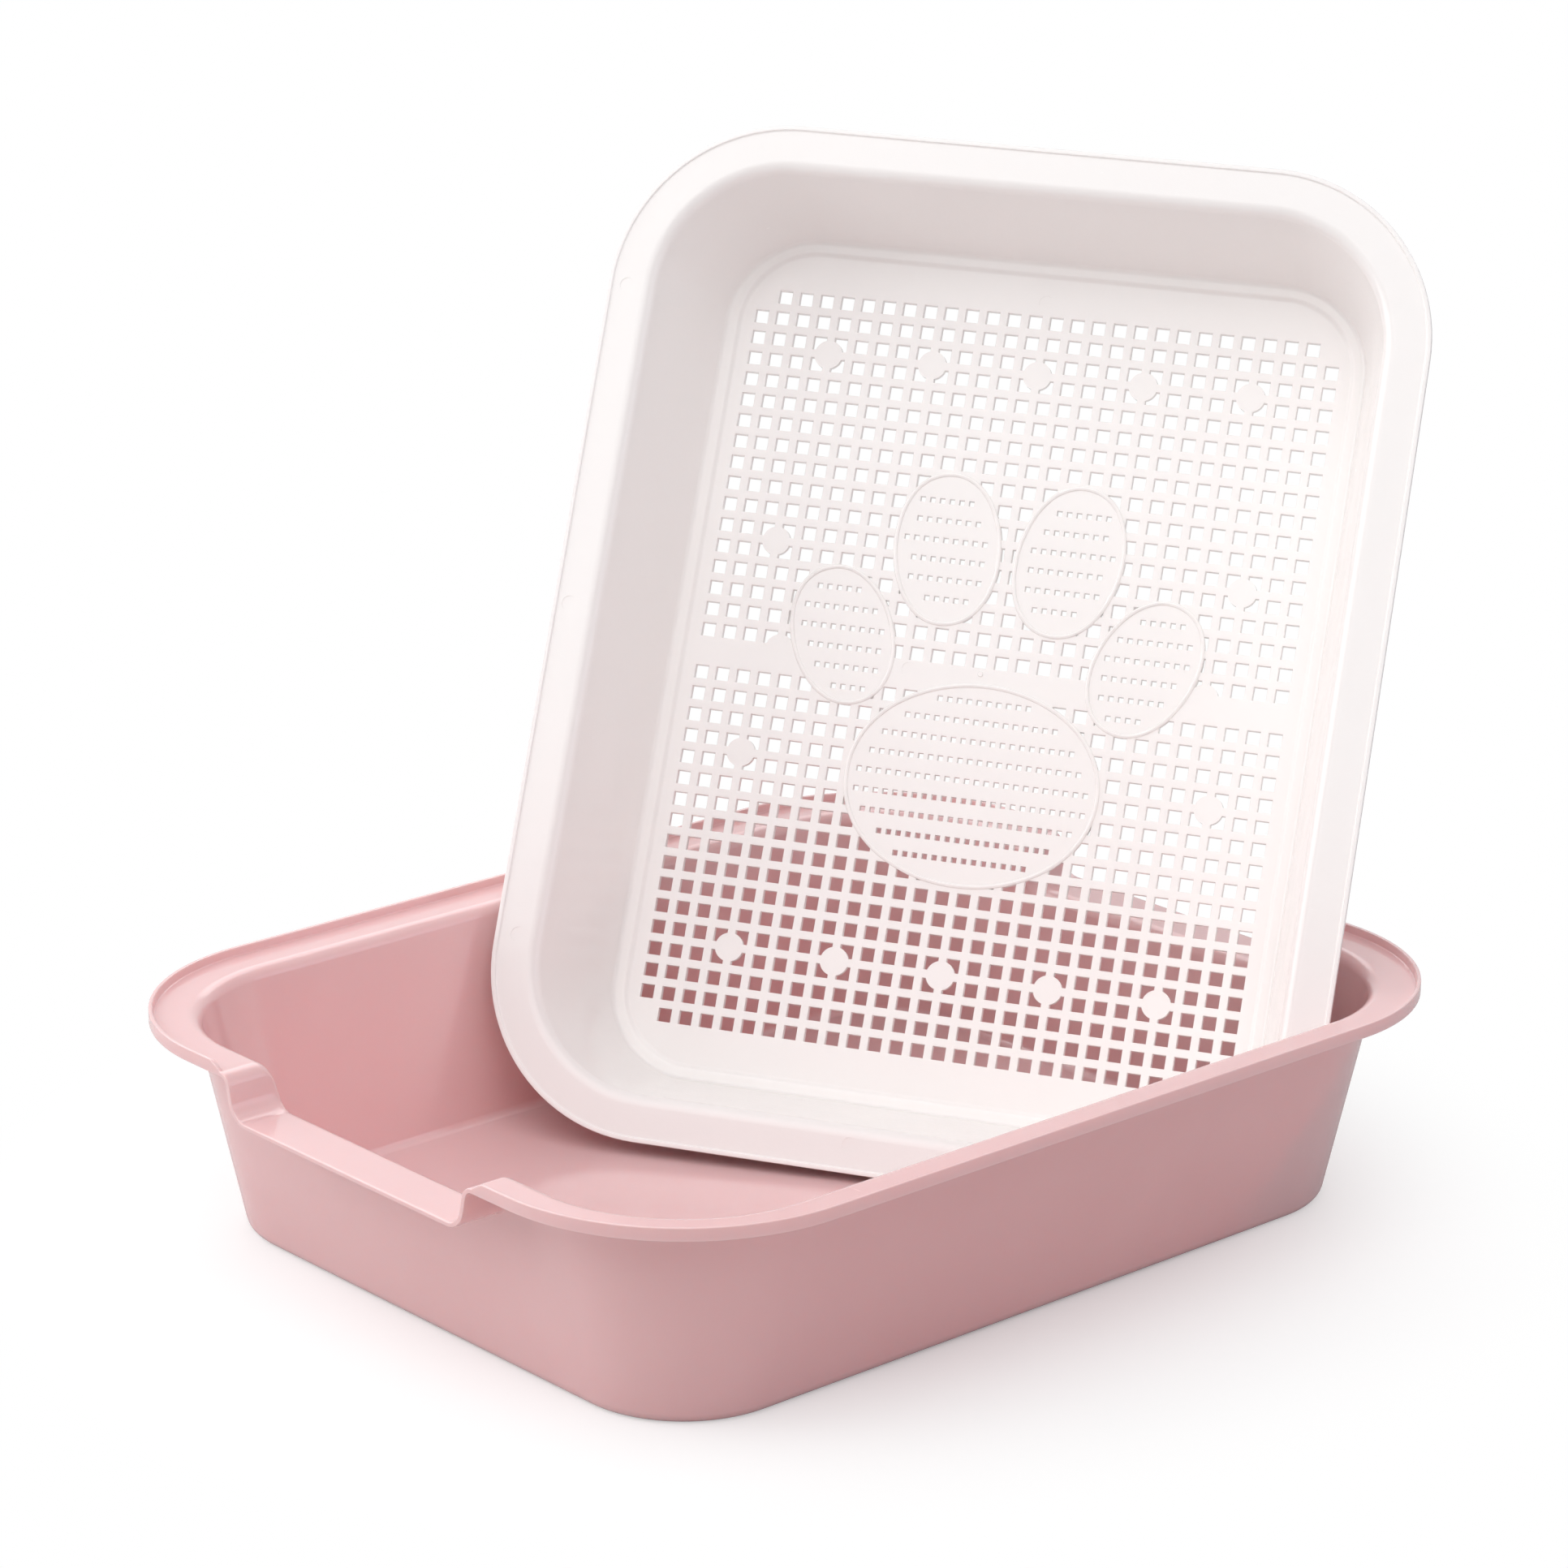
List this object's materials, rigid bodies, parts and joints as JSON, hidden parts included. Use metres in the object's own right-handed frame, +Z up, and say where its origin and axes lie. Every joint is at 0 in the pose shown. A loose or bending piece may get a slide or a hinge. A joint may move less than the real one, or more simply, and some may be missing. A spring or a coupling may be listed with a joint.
{
  "type": "sifting litter box",
  "caption": "Cat litter pan with a wide flange and lowered entries, and a perforated sifting tray that stands leaning in the pan and lifts out.",
  "frame": {"origin": "centre of the pan's flat underside", "axes": "+Z up, X across the pan's width, Y along its length with the front entry at -Y"},
  "size_m": [0.3431, 0.4526, 0.3411],
  "materials": {
    "pink_plastic": "satin",
    "white_plastic": "satin"
  },
  "bodies": {
    "pan": {"litter_pan": "pink_plastic"},
    "tray": {"sifting_tray": "white_plastic"}
  },
  "joints": [
    {"name": "tray_lift", "type": "slide", "parent": "pan", "child": "tray", "axis": [0, 0, 1], "range_m": [0, 0.09]}
  ]
}
